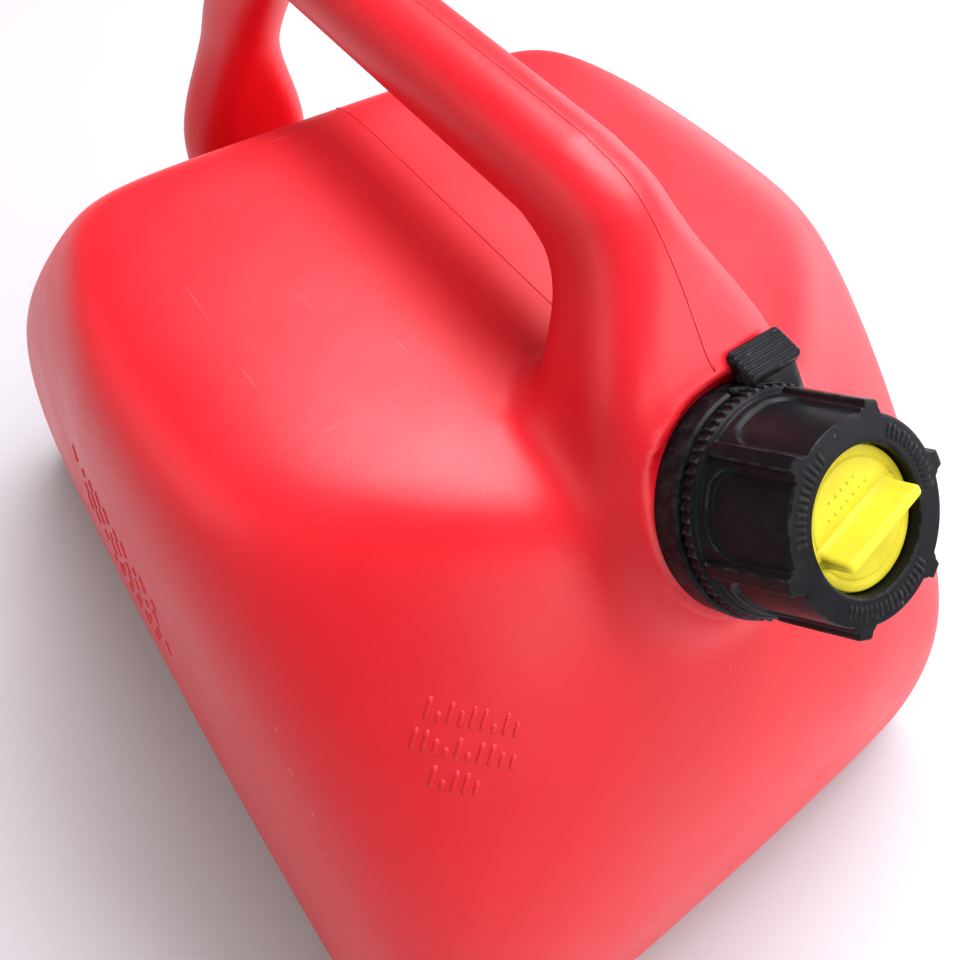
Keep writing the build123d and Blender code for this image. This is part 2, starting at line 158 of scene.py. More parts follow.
def tank_material():
    """Satin red polyethylene: faint clouding, moulding grain, rubbed edges, scratches and pips."""
    material, nodes, links, shader = new_material("tank_red_polyethylene")
    where = object_coordinates(nodes)
    base = ramp(nodes, links, noise(nodes, links, where, 9.0, 3.0), [(0.3, TANK_DEEP), (0.7, TANK_RED)])
    # rubbed, paler plastic where the surface stands proud
    geometry = nodes.new("ShaderNodeNewGeometry")
    worn = grey_ramp(nodes, links, geometry.outputs["Pointiness"], 0.52, 0.60)
    patch = grey_ramp(nodes, links, noise(nodes, links, where, 55.0, 6.0, 0.7), 0.45, 0.7)
    rub = math_node(nodes, links, "MULTIPLY", worn, patch)
    rub = math_node(nodes, links, "MULTIPLY", rub, RUB_AMOUNT)
    colour = mix_colour(nodes, links, rub, base, TANK_RUBBED)
    # short scratches in two directions
    scratches = []
    for angle, stretch in SCRATCH_RUNS:
        mapping = nodes.new("ShaderNodeMapping")
        mapping.inputs["Rotation"].default_value = (0.2, 0.1, angle)
        mapping.inputs["Scale"].default_value = stretch
        links.new(where, mapping.inputs["Vector"])
        streak = noise(nodes, links, mapping.outputs["Vector"], 1.0, 1.0, 0.3)
        scratches.append(grey_ramp(nodes, links, streak, 0.745, 0.79))
    scratch = math_node(nodes, links, "MAXIMUM", scratches[0], scratches[1])
    scratched_areas = grey_ramp(nodes, links, noise(nodes, links, where, 14.0, 2.0), 0.56, 0.66)
    scratch = math_node(nodes, links, "MULTIPLY", scratch, scratched_areas)
    scratch = math_node(nodes, links, "MULTIPLY", scratch, SCRATCH_AMOUNT)
    colour = mix_colour(nodes, links, scratch, colour, TANK_SCRATCH)
    # small pale pips
    cells = nodes.new("ShaderNodeTexVoronoi")
    cells.inputs["Scale"].default_value = 34.0
    links.new(where, cells.inputs["Vector"])
    pip = grey_ramp(nodes, links, cells.outputs["Distance"], 0.030, 0.055, 1.0, 0.0)
    chosen = grey_ramp(nodes, links, noise(nodes, links, where, 23.0, 1.0), 0.60, 0.63)
    pip = math_node(nodes, links, "MULTIPLY", pip, chosen)
    paler = math_node(nodes, links, "MULTIPLY", pip, PIP_AMOUNT)
    colour = mix_colour(nodes, links, paler, colour, TANK_SCRATCH)
    links.new(colour, shader.inputs["Base Color"])
    smear = noise(nodes, links, where, 18.0, 5.0, 0.6)
    links.new(grey_ramp(nodes, links, smear, 0.3, 0.7, 0.36, 0.47), shader.inputs["Roughness"])
    # gentle waviness, fine grain and the pips in relief
    grain = noise(nodes, links, where, 900.0, 3.0, 0.6)
    ripple = noise(nodes, links, where, 26.0, 2.0, 0.5)
    normal = bump(nodes, links, ripple, 0.10, 0.004)
    normal = bump(nodes, links, grain, 0.08, 0.0006, normal)
    normal = bump(nodes, links, pip, 0.5, 0.0004, normal)
    links.new(normal, shader.inputs["Normal"])
    shader.inputs["Subsurface Weight"].default_value = 0.12
    shader.inputs["Subsurface Radius"].default_value = (1.0, 0.18, 0.12)
    shader.inputs["Subsurface Scale"].default_value = 0.004
    shader.inputs["Specular IOR Level"].default_value = 0.42
    return material


def plastic_material(name, colour, dusty, roughness, grain_scale=1400.0, dust=0.5):
    """Moulded plastic with fine grain, dust on its edges and a roughness that varies."""
    material, nodes, links, shader = new_material(name)
    where = object_coordinates(nodes)
    cloud = noise(nodes, links, where, 60.0, 4.0)
    darker = tuple(channel * 0.8 for channel in colour)
    base = ramp(nodes, links, cloud, [(0.35, darker), (0.7, colour)])
    geometry = nodes.new("ShaderNodeNewGeometry")
    edge = grey_ramp(nodes, links, geometry.outputs["Pointiness"], 0.51, 0.58)
    patch = grey_ramp(nodes, links, noise(nodes, links, where, 240.0, 5.0, 0.7), 0.42, 0.66)
    wear = math_node(nodes, links, "MULTIPLY", edge, patch)
    film = grey_ramp(nodes, links, noise(nodes, links, where, 90.0, 6.0, 0.65), 0.5, 0.8, 0.0, 0.08)
    wear = math_node(nodes, links, "MAXIMUM", wear, film)
    wear = math_node(nodes, links, "MULTIPLY", wear, dust)
    links.new(mix_colour(nodes, links, wear, base, dusty), shader.inputs["Base Color"])
    gloss = noise(nodes, links, where, 130.0, 4.0)
    links.new(grey_ramp(nodes, links, gloss, 0.3, 0.7, *roughness), shader.inputs["Roughness"])
    normal = bump(nodes, links, noise(nodes, links, where, grain_scale, 2.0), 0.12, 0.0003)
    links.new(normal, shader.inputs["Normal"])
    shader.inputs["Specular IOR Level"].default_value = 0.1
    return material


def floor_material():
    material, nodes, links, shader = new_material("studio_floor")
    where = object_coordinates(nodes)
    tone = grey_ramp(nodes, links, noise(nodes, links, where, 3.0, 2.0), 0.3, 0.7, 0.53, 0.56)
    links.new(tone, shader.inputs["Base Color"])
    shader.inputs["Roughness"].default_value = 0.9
    return material


BLACK = (0.0045, 0.0050, 0.0062)

red = tank_material()
black = plastic_material("closure_black_plastic", BLACK, (0.17, 0.175, 0.165), (0.30, 0.46))
ring_black = plastic_material("ring_black_plastic", BLACK, (0.08, 0.082, 0.08), (0.34, 0.5), dust=0.15)
yellow = plastic_material(
    "stopper_yellow_plastic", (0.72, 0.62, 0.035), (0.55, 0.46, 0.05), (0.32, 0.45), dust=0.35)
spout_yellow = plastic_material(
    "spout_yellow_plastic", (0.80, 0.60, 0.02), (0.5, 0.42, 0.08), (0.34, 0.48), dust=0.3)
hose = plastic_material("hose_black_rubber", (0.02, 0.02, 0.02), (0.10, 0.10, 0.10), (0.55, 0.7), 700.0)
rubber = plastic_material("seal_rubber", (0.03, 0.03, 0.03), (0.10, 0.10, 0.10), (0.6, 0.75), 700.0)
white = plastic_material("vent_white_plastic", (0.72, 0.72, 0.68), (0.5, 0.5, 0.46), (0.35, 0.5), dust=0.3)
steel = plastic_material("screen_steel", (0.55, 0.55, 0.54), (0.3, 0.3, 0.28), (0.25, 0.4), 500.0)
steel.node_tree.nodes["Principled BSDF"].inputs["Metallic"].default_value = 1.0


# ---------------------------------------------------------------------------------------------
# Mesh helpers
# ---------------------------------------------------------------------------------------------
def make_object(name, vertices, faces, material, body, slot, turn_out=True):
    """Mesh object from millimetre points that rides on a body; the slot argument is not used."""
    mesh = bpy.data.meshes.new(name)
    mesh.from_pydata([tuple(point) for point in np.asarray(vertices) * MM], [], [tuple(f) for f in faces])
    mesh.validate()
    if turn_out:
        shell = bmesh.new()
        shell.from_mesh(mesh)
        bmesh.ops.recalc_face_normals(shell, faces=shell.faces)
        shell.to_mesh(mesh)
        shell.free()
    mesh.update()
    mesh.shade_smooth()
    mesh.materials.append(material)
    piece = bpy.data.objects.new(name, mesh)
    bpy.context.scene.collection.objects.link(piece)
    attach(piece, body)
    return piece


def grid_faces(rows, columns, wrap_rows=False, wrap_columns=False):
    """Quads of a grid whose points run row by row."""
    faces = []
    for row in range(rows if wrap_rows else rows - 1):
        for column in range(columns if wrap_columns else columns - 1):
            next_row, next_column = (row + 1) % rows, (column + 1) % columns
            faces.append((row * columns + column, next_row * columns + column,
                          next_row * columns + next_column, row * columns + next_column))
    return faces


def caps(rows, columns):
    """Faces that close the first and the last row of a grid whose rows are rings."""
    last = (rows - 1) * columns
    return [tuple(range(columns))[::-1], tuple(range(last, last + columns))]


def swept(sections):
    """Closed body through a series of rings with equally many points."""
    rows, columns = len(sections), len(sections[0])
    return np.vstack(sections), grid_faces(rows, columns, wrap_columns=True) + caps(rows, columns)


def smoothstep(low, high, value):
    step = np.clip((value - low) / (high - low), 0.0, 1.0)
    return step * step * (3 - 2 * step)


def resample(points, spacing):
    """Points along a polyline, no further apart than a spacing, keeping its corners."""
    result = []
    for first, second in zip(points[:-1], points[1:]):
        first, second = np.array(first, float), np.array(second, float)
        count = max(1, int(ceil(np.linalg.norm(second - first) / spacing)))
        result += [first + (second - first) * step / count for step in range(count)]
    return np.array(result + [np.array(points[-1], float)])


def evenly(line, count):
    """A closed line's points at equal distances; its last point repeats its first."""
    length = np.concatenate([[0], np.cumsum(np.linalg.norm(np.diff(line, axis=0), axis=1))])
    stations = np.linspace(0, length[-1], count, endpoint=False)
    return np.stack([np.interp(stations, length, line[:, d]) for d in range(line.shape[1])], axis=1)


def rounded(points, radius, steps=4):
    """Polyline with each inner corner cut by a small arc-like curve."""
    points = [np.array(point, float) for point in points]
    result = [points[0]]
    for before, corner, after in zip(points[:-2], points[1:-1], points[2:]):
        reach = min(radius, np.linalg.norm(before - corner) * 0.45, np.linalg.norm(after - corner) * 0.45)
        start = corner + (before - corner) / np.linalg.norm(before - corner) * reach
        end = corner + (after - corner) / np.linalg.norm(after - corner) * reach
        for step in range(steps + 1):
            t = step / steps
            result.append((1 - t) ** 2 * start + 2 * t * (1 - t) * corner + t * t * end)
    return result + [points[-1]]


# ---------------------------------------------------------------------------------------------
# Tank skin: a distance field of planes, tubes and a cone, blended as a blow moulding is
# ---------------------------------------------------------------------------------------------
CROWN = 240.0
WALL = 2.6
WALL_ROUND = 10.0
TOP_ROUND = 5.6
SHOULDER_ROUND = 18.8
FOOT_ROUND = 9.0
WALL_BULGE = 5.0
WALL_SETBACK = 2.0
# planes that cut the shoulder: fall along x, fall away from the middle plane, height at the origin
REAR_FACET = (-1.175, 0.0, 345.0)
FACETS = [
    (0.695, 0.60, 360.6), (1.13, 0.70, 418.0), (-0.756, 1.25, 446.5), (1.543, 0.0, 442.0), REAR_FACET,
]
BAR_RADIUS = 17.5
STRUT_SPREAD = 14.0
STRUT_HEIGHTS = (228.0, 160.0)
LEG_SPREAD = 18.0
LEG_HEIGHTS = (88.0, 30.0)
BOSS_RADIUS = 35.5
BOSS_SPREAD = 0.34
BOSS_DEPTH = 62.0
BOSS_BACK = (-1.2, 0.0, 126.0)  # plane that ends the boss behind the leg
BOSS_BLEND = 13.0
LEG_BLEND = 12.0
STRUT_BLEND = 22.0
SEAT_REACH = 36.4
SEAT_BLEND = 0.9
HANDLE_FLOOR = 30.0
HANDLE_SIDE = 90.0
NECK_HOLE = 21.0

bar_middle = BAR_TOP - BAR_RADIUS
# middle lines of the handle and edges of its front leg as (x, z)
HANDLE_ROUTE = [
    (-176.0, 60.0), (-189.0, 105.0), (-194.0, 150.0), (-193.0, 185.0), (-186.0, 217.0), (-168.0, 250.0),
    (-143.0, 282.0),
    (-118.0, bar_middle), (-90.0, bar_middle), (-30.0, bar_middle), (20.0, bar_middle), (56.0, bar_middle),
]
LEG_FRONT = [(50.0, 294.5), (69.0, 293.4), (79.3, 288.8), (93.4, 275.9), (110.8, 255.5), (134.0, 226.0)]
LEG_BACK = [
    (132.0, 165.0), (98.0, 165.0), (97.0, 219.0), (91.4, 249.0), (86.5, 263.0), (80.0, 277.0), (66.0, 290.0),
    (50.0, 294.5),
]


def smooth_max(values, blend):
    """Rounded maximum of several fields."""
    values = np.stack(values)
    top = values.max(axis=0)
    return top + blend * np.log(np.exp((values - top) / blend).sum(axis=0))


def smooth_min(first, second, blend):
    """Rounded minimum with a round of a limited reach."""
    mix = np.clip(0.5 + 0.5 * (second - first) / blend, 0.0, 1.0)
    return second + (first - second) * mix - blend * mix * (1 - mix)


def spline(points, per_span=8):
    """Points of a uniform cubic B-spline that starts and ends at its end points."""
    control = np.array([points[0]] * 2 + list(points) + [points[-1]] * 2, float)
    t = (np.arange(per_span) / per_span)[:, None]
    weights = ((1 - t) ** 3, 3 * t ** 3 - 6 * t ** 2 + 4, -3 * t ** 3 + 3 * t ** 2 + 3 * t + 1, t ** 3)
    spans = [sum(w * control[i + k] for k, w in enumerate(weights)) / 6 for i in range(len(control) - 3)]
    return np.vstack(spans + [control[-1:]])


def path_distance(x, z, path):
    """Distance to a polyline within the middle plane."""
    nearest = np.full(x.shape, 1e9)
    for (ax, az), (bx, bz) in zip(path[:-1], path[1:]):
        dx, dz = bx - ax, bz - az
        length = dx * dx + dz * dz
        if length < 1e-9:
            continue
        t = np.clip(((x - ax) * dx + (z - az) * dz) / length, 0.0, 1.0)
        nearest = np.minimum(nearest, (x - ax - t * dx) ** 2 + (z - az - t * dz) ** 2)
    return np.sqrt(nearest)


def outline_distance(x, z, outline):
    """Signed distance to a closed outline in the middle plane, negative inside."""
    nearest = np.full(x.shape, 1e9)
    inside = np.zeros(x.shape, bool)
    for (ax, az), (bx, bz) in zip(outline, outline[1:] + outline[:1]):
        dx, dz = bx - ax, bz - az
        t = np.clip(((x - ax) * dx + (z - az) * dz) / (dx * dx + dz * dz), 0.0, 1.0)
        nearest = np.minimum(nearest, (x - ax - t * dx) ** 2 + (z - az - t * dz) ** 2)
        if dz:
            inside ^= ((az > z) != (bz > z)) & (x < ax + dx * (z - az) / dz)
    distance = np.sqrt(nearest)
    return np.where(inside, -distance, distance)


def plane_field(x, y, z, slope_x, slope_y, height):
    return (slope_x * x + slope_y * np.abs(y) + z - height) / sqrt(slope_x ** 2 + slope_y ** 2 + 1)


handle_path = spline(HANDLE_ROUTE)
leg_core = [tuple(point) for point in np.vstack([spline(LEG_FRONT), spline(LEG_BACK)[:-1]])]


def handle_field(x, y, z):
    """Bar, rear strut and front leg: a round core in the middle plane that widens sideways at its feet."""
    core = np.minimum(path_distance(x, z, handle_path), np.maximum(outline_distance(x, z, leg_core), 0.0))
    rise = (x - SEAT[0]) * UP[0] + (z - SEAT[2]) * UP[2]
    leg_spread = LEG_SPREAD * smoothstep(*LEG_HEIGHTS, rise)
    spread = np.where(x < 0, STRUT_SPREAD * smoothstep(*STRUT_HEIGHTS, z), leg_spread)
    return np.hypot(core, np.maximum(np.abs(y) - spread, 0.0)) - BAR_RADIUS


def about_neck(points):
    """Distance of points from the neck's axis, and their height along it above the seat."""
    offset = points - SEAT
    height = offset @ AXIS
    return np.sqrt(np.maximum((offset ** 2).sum(axis=-1) - height ** 2, 0.0)), height


def tank_field(points):
    """Field of the tank's outside, about the distance in millimetres, negative inside."""
    x, y, z = points[..., 0], points[..., 1], points[..., 2]
    swell = WALL_BULGE * (1 - (z / CROWN * 2 - 1) ** 4).clip(0, 1)
    side = np.abs(y) - HALF_WIDTH + WALL_SETBACK - swell * (1 - (x / HALF_LENGTH) ** 2).clip(0, 1)
    ends = np.abs(x) - HALF_LENGTH + WALL_SETBACK - swell * (1 - (y / HALF_WIDTH) ** 2).clip(0, 1)
    walls = smooth_max([side, ends], WALL_ROUND)
    top = smooth_max([z - CROWN] + [plane_field(x, y, z, *facet) for facet in FACETS], TOP_ROUND)
    body = smooth_max([walls, top], SHOULDER_ROUND)
    body = smooth_max([body, -z], FOOT_ROUND)
    # neck boss, kept below the crown behind the leg
    radius, height = about_neck(points)
    cone = (radius - BOSS_RADIUS + BOSS_SPREAD * height) / sqrt(1 + BOSS_SPREAD ** 2)
    boss = np.maximum(np.maximum(cone, height), -height - BOSS_DEPTH)
    boss = np.maximum(boss, plane_field(x, y, z, *BOSS_BACK))
    body = smooth_min(body, boss, BOSS_BLEND)
    # handle
    beside = (z > HANDLE_FLOOR) & (np.abs(y) < HANDLE_SIDE)
    handle = handle_field(x[beside], y[beside], z[beside])
    body[beside] = smooth_min(body[beside], handle, np.where(x[beside] < 0, STRUT_BLEND, LEG_BLEND))
    # flat seat for the lock ring
    above_seat = np.maximum(radius - SEAT_REACH, -height)
    return smooth_max([body, -above_seat], SEAT_BLEND)


def surface_nets(field, low, step, counts):
    """Quad surface of a sampled field's zero level."""
    nx, ny, nz = counts
    corners = [(i, j, k) for i in (0, 1) for j in (0, 1) for k in (0, 1)]
    inside = field < 0
    cells = np.zeros((nx - 1, ny - 1, nz - 1), int)
    for i, j, k in corners:
        cells += inside[i:nx - 1 + i, j:ny - 1 + j, k:nz - 1 + k]
    active = (cells > 0) & (cells < 8)
    index = -np.ones(active.shape, int)
    index[active] = np.arange(active.sum())
    place = np.argwhere(active)
    total = np.zeros((len(place), 3))
    weight = np.zeros(len(place))
    edges = [(a, b) for a in corners for b in corners if sorted(q - p for p, q in zip(a, b)) == [0, 0, 1]]
    for a, b in edges:
        fa, fb = field[tuple((place + a).T)], field[tuple((place + b).T)]
        crosses = (fa < 0) != (fb < 0)
        t = np.where(crosses, fa / np.where(crosses, fa - fb, 1.0), 0.0)[:, None]
        total += np.where(crosses[:, None], np.array(a) * (1 - t) + np.array(b) * t, 0.0)
        weight += crosses
    vertices = low + (place + total / weight[:, None]) * step
    faces = []
    for axis, (u, v) in enumerate(((1, 2), (2, 0), (0, 1))):
        here = inside[tuple(slice(0, -1) if d == axis else slice(1, -1) for d in range(3))]
        there = inside[tuple(slice(1, None) if d == axis else slice(1, -1) for d in range(3))]
        cross = np.argwhere(here != there)
        cell = cross + np.array([0 if d == axis else 1 for d in range(3)])
        du, dv = np.eye(3, dtype=int)[u], np.eye(3, dtype=int)[v]
        quad = np.stack([index[tuple((cell - shift).T)] for shift in (0 * du, du, du + dv, dv)], axis=1)
        flip = ~here[tuple(cross.T)]
        quad[flip] = quad[flip][:, ::-1]
        faces.append(quad)
    return vertices, np.vstack(faces)


SLOPE_REACH = 0.4
LONGEST_MOVE = 1.5


def field_slope(points):
    """Gradient of the tank's field at points near its skin."""
    return np.stack([
        tank_field(points + SLOPE_REACH * unit) - tank_field(points - SLOPE_REACH * unit)
        for unit in np.eye(3)
    ], axis=1) / (2 * SLOPE_REACH)


def settle(vertices, rounds=4):
    """Moves surface points onto the field's zero level along its gradient."""
    for _ in range(rounds):
        value = tank_field(vertices)
        slope = field_slope(vertices)
        size = np.maximum((slope ** 2).sum(axis=1), 0.05)
        move = -slope * (value / size)[:, None]
        vertices = vertices + np.clip(move, -LONGEST_MOVE, LONGEST_MOVE)
    return vertices


CELL, QUICK_CELL = 2.5, 4.0
GRID_LOW = np.array([-HALF_LENGTH - 14, -HALF_WIDTH - 10, -6.0])
GRID_HIGH = np.array([HALF_LENGTH + 10, HALF_WIDTH + 10, BAR_TOP + 8])
NECK_HOLE_DEPTH = 8.0


def build_tank():
    """Skin of the tank with a hole under the neck, thickened inwards."""
    step = CELL
    counts = tuple(int(n) for n in np.ceil((GRID_HIGH - GRID_LOW) / step) + 1)
    axes = [GRID_LOW[d] + step * np.arange(counts[d]) for d in range(3)]
    field = np.empty(counts)
    for i, x in enumerate(axes[0]):
        y, z = np.meshgrid(axes[1], axes[2], indexing="ij")
        field[i] = tank_field(np.stack([np.full(y.shape, x), y, z], axis=-1))
    vertices, faces = surface_nets(field, GRID_LOW, step, counts)
    vertices = settle(vertices)
    radius, height = about_neck(vertices)
    hole = (radius < NECK_HOLE) & (height > -NECK_HOLE_DEPTH)
    faces = faces[~hole[faces].all(axis=1)]
    used = np.unique(faces)
    renumber = -np.ones(len(vertices), int)
    renumber[used] = np.arange(len(used))
    faces = renumber[faces]
    skin = make_object("tank_skin", vertices[used], faces, red, "tank", "tank_red", turn_out=False)
    solidify = skin.modifiers.new("wall", "SOLIDIFY")
    solidify.thickness = WALL * MM
    solidify.offset = -1.0
    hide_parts("tank_shell")


# ---------------------------------------------------------------------------------------------
# Turned shapes about the neck, whose radius and height may vary with the angle
# ---------------------------------------------------------------------------------------------
def turned_object(name, profile, columns, relief, material, body, slot, closed=True, capped=False):
    """Turns (radius, height) points about the neck; relief(angle, radius, height) moves them."""
    profile = np.asarray(profile, float)
    angle = np.linspace(0, 2 * pi, columns, endpoint=False)
    radius = np.repeat(profile[:, :1], columns, axis=1)
    height = np.repeat(profile[:, 1:], columns, axis=1)
    angles = np.repeat(angle[None], len(profile), axis=0)
    if relief:
        radius, height = relief(angles, radius, height)
    points = along_neck(radius * np.cos(angles), radius * np.sin(angles), height).reshape(-1, 3)
    faces = grid_faces(len(profile), columns, wrap_rows=closed, wrap_columns=True)
    if capped:
        faces += caps(len(profile), columns)
    return make_object(name, points, faces, material, body, slot)


NECK_RADIUS = 23.0
NECK_BORE = 19.5
NECK_LIP = 32.5
THREAD_PITCH = 5.0
THREAD_HEIGHT = 0.9
THREAD_FIRST = 13.5
THREAD_LAST = 28.5
THREAD_FADE = 2.0
FOOT_RIM = 3.0


def neck_relief(angle, radius, height):
    """Adds the screw thread to the outside of the neck."""
    turns = (height - THREAD_FIRST) / THREAD_PITCH - angle / (2 * pi)
    distance = np.abs(turns - np.round(turns)) * THREAD_PITCH
    ridge = smoothstep(1.5, 0.7, distance)
    start = smoothstep(THREAD_FIRST, THREAD_FIRST + THREAD_FADE, height)
    end = smoothstep(THREAD_LAST, THREAD_LAST - THREAD_FADE, height)
    outside = radius > NECK_RADIUS - 0.2
    return radius + THREAD_HEIGHT * ridge * start * end * outside, height


def build_neck():
    """Neck with its thread, lip and bore, and a foot that reaches under the skin."""
    profile = rounded([
        (NECK_BORE, -7.0), (NECK_BORE, NECK_LIP), (NECK_RADIUS, NECK_LIP), (NECK_RADIUS, 1.2),
        (NECK_RADIUS + FOOT_RIM, -0.4), (NECK_RADIUS + FOOT_RIM, -2.6), (NECK_RADIUS, -7.0),
    ], 0.8)
    profile = resample(profile, 0.6)
    neck = turned_object("tank_neck", profile, 180, neck_relief, red, "tank", "tank_red", closed=False)
    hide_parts("tank_shell")


# ---------------------------------------------------------------------------------------------
# Small moulded plates: rounded rectangles with a rounded rim, laid on a frame of three directions
# ---------------------------------------------------------------------------------------------
PLATE_CORE = 0.04


def plate_mesh(length, width, thickness, corner, rim, relief=None, rings=8, around=48):
    """Closed plate in its own frame, centred, its top at z = thickness; relief(x, y) lifts the top."""
    angle = np.linspace(0, 2 * pi, 64, endpoint=False) + pi / 64
    turn_x, turn_y = np.cos(angle), np.sin(angle)
    outline = np.stack([np.sign(turn_x) * (length / 2 - corner) + corner * turn_x,
                        np.sign(turn_y) * (width / 2 - corner) + corner * turn_y], axis=1)
    outline = evenly(np.vstack([outline, outline[:1]]), around)
    steps = np.linspace(PLATE_CORE, 1.0, rings)
    rows = []
    for step in steps:
        flat = outline * step
        depth = np.clip((1 - step) * min(length, width) / 2 / rim, 0, 1)
        drop = rim * (1 - sqrt(max(0.0, 1 - (1 - depth) ** 2)))
        lift = relief(flat[:, 0], flat[:, 1]) * smoothstep(0, 1, depth) if relief else 0.0
        rows.append(np.column_stack([flat, np.full(around, thickness - drop) + lift]))
    rows.append(np.column_stack([outline, np.zeros(around)]))
    rows.append(np.column_stack([outline * steps[0], np.zeros(around)]))
    return swept(rows)


def lay(points, origin, along, across, out):
    """Points of a plate's own frame brought to a place with three directions."""
    return np.asarray(origin) + points[:, :1] * along + points[:, 1:2] * across + points[:, 2:] * out


def join(parts):
    """One vertex list and one face list from several pairs."""
    vertices, faces, count = [], [], 0
    for points, part_faces in parts:
        vertices.append(points)
        faces += [tuple(index + count for index in face) for face in part_faces]
        count += len(points)
    return np.vstack(vertices), faces


# ---------------------------------------------------------------------------------------------
# Relief on the tank: parting line, short rows on the shoulder and on the near wall
# ---------------------------------------------------------------------------------------------
SEAM_RADIUS = 0.42
SEAM_PROUD = 0.6
SEAM_FRONT = 120.0
SEAM_REAR = -110.0
SEAM_RISE = 6.0
SEAM_SPACING = 2.5
SEAM_OFF_SKIN = 0.3
SEAM_COLLAR_GAP = 1.5
# centre x and z, number of rays and their length for the outer and the inner loop
SEAM_CENTRES = ((0.0, 150.0, 2200, 330.0), (-35.0, 259.0, 900, 160.0))
RELIEF_SINK = 0.45


def surface_slope(points):
    """Outward unit normal of the skin."""
    slope = field_slope(points)
    return slope / np.linalg.norm(slope, axis=1)[:, None]


def seam_loop(centre_x, centre_z, count, reach, outward):
    """Loop where the tank's skin meets the middle plane, seen from a centre."""
    angle = np.linspace(0, 2 * pi, count, endpoint=False)
    direction = np.stack([np.cos(angle), np.zeros(count), np.sin(angle)], axis=1)
    centre = np.array([centre_x, 0.0, centre_z])
    distance = np.linspace(0.0, reach, 240)
    inside = tank_field(centre + direction[:, None, :] * distance[None, :, None]) < 0
    crossing = inside[:, :-1] != inside[:, 1:]
    if outward:
        step = crossing.shape[1] - 1 - crossing[:, ::-1].argmax(axis=1)
    else:
        step = crossing.argmax(axis=1)
    points = settle(centre + direction * ((distance[step] + distance[step + 1]) / 2)[:, None], 6)
    points[:, 1] = 0.0
    closed = np.vstack([points, points[:1]])
    around = np.linalg.norm(np.diff(closed, axis=0), axis=1).sum()
    return evenly(closed, int(around / SEAM_SPACING))


def seam_tube(line):
    """Thin bead along a line in the middle plane, half sunk in the skin."""
    normal = surface_slope(line)
    sideways = np.array([0.0, 1.0, 0.0])
    angle = np.linspace(0, 2 * pi, 8, endpoint=False)[None, :, None]
    ring = np.sin(angle) * SEAM_PROUD * normal[:, None] + np.cos(angle) * sideways
    return swept(line[:, None] + SEAM_RADIUS * ring)


def build_seam():
    """Parting line round the outside, but not in front below the collar, and round the handle's gap."""
    parts = []
    for outward, (x, z, count, reach) in zip((True, False), SEAM_CENTRES):
        line = seam_loop(x, z, count, reach, outward)
        shown = np.abs(tank_field(line)) < SEAM_OFF_SKIN
        shown &= ((line - SEAT) @ UP > SEAT_REACH + SEAM_COLLAR_GAP) | (line[:, 0] < SEAM_FRONT)
        if not outward:
            rise = plane_field(line[:, 0], 0.0, line[:, 2], *REAR_FACET)
            shown &= (line[:, 0] > SEAM_REAR) | (rise < SEAM_RISE)
        start = int(np.argmax(shown & ~np.roll(shown, 1)))
        parts.append(seam_tube(np.roll(line, -start, axis=0)[:int(shown.sum())]))
    make_object("parting_seam", *join(parts), red, "tank", "tank_red")


def relief_rows(centre, along, rows, pitch, stroke, tall, gap, lift):
    """Rows of short upright strokes that follow the skin; a row is a string of its strokes' lengths."""
    centre = settle(np.array([centre], float), 8)
    out = surface_slope(centre)[0]
    along = np.asarray(along, float) - out * (np.asarray(along) @ out)
    along /= np.linalg.norm(along)
    across = np.cross(out, along)
    parts = []
    for row, strokes in enumerate(rows):
        for place, size in enumerate(strokes):
            length = tall * STROKE_SIZES[size]
            shift = (place - (len(strokes) - 1) / 2) * gap
            drop = ((len(rows) - 1) / 2 - row) * pitch - (tall - length) / 2
            spot = settle((centre[0] + along * shift + across * drop)[None], 8)
            normal = surface_slope(spot)[0]
            run = along - normal * (along @ normal)
            run /= np.linalg.norm(run)
            points, faces = plate_mesh(
                stroke, length, lift + RELIEF_SINK, stroke * 0.45, 0.4, rings=5, around=28)
            points[:, 2] -= RELIEF_SINK
            parts.append((lay(points, spot[0], run, np.cross(normal, run), normal), faces))
    return parts


STROKE_SIZES = {"i": 1.0, "l": 0.72, "o": 0.45}
SHOULDER_ROWS = ("ioiliioil", "iiloioiill", "ioiil")
WALL_ROWS = ("ioliilioil", "liioilloi", "iilioiloli", "oiliil")


def build_relief():
    """Generic rows of strokes where the can carries raised text."""
    parts = relief_rows((143.0, -97.0, 188.0), (0.84, 0.54, 0.0), SHOULDER_ROWS,
                        pitch=10.2, stroke=1.5, tall=7.2, gap=3.3, lift=0.42)
    make_object("shoulder_relief", *join(parts), red, "tank", "tank_red")
    parts = relief_rows((-10.0, -146.0, 130.0), (1.0, 0.0, 0.0), WALL_ROWS,
                        pitch=16.0, stroke=2.2, tall=10.0, gap=8.5, lift=0.6)
    make_object("wall_relief", *join(parts), red, "tank", "tank_red")


# ---------------------------------------------------------------------------------------------
# Closure: collar, stopper and lock tab
# ---------------------------------------------------------------------------------------------
COLLAR_BOTTOM, COLLAR_TOP = 9.4, 44.0
COLLAR_BORE = 24.3
FACE_HOLE = 19.4
FACE_UNDERSIDE = 38.2
FLANGE_RADIUS = 32.2
FLANGE_TOP = 14.0
COLLAR_FOOT = 30.5
COLLAR_RIM = 28.5
RIB_COUNT = 6
RIB_FIRST = radians(-25.0)
RIB_HALF = 2.3
RIB_HEIGHT = 1.9
WINDOW_START = 17.6
WINDOW_CORNER = 8.0
WINDOW_SIDE = 3.4
WINDOW_DEPTH = 1.2
TOOTH_COUNT = 64
TOOTH_HEIGHT = 0.9
FACE_MARKS = ((radians(20.0), 13), (radians(138.0), 17), (radians(262.0), 13))
MARK_STEP = radians(4.6)


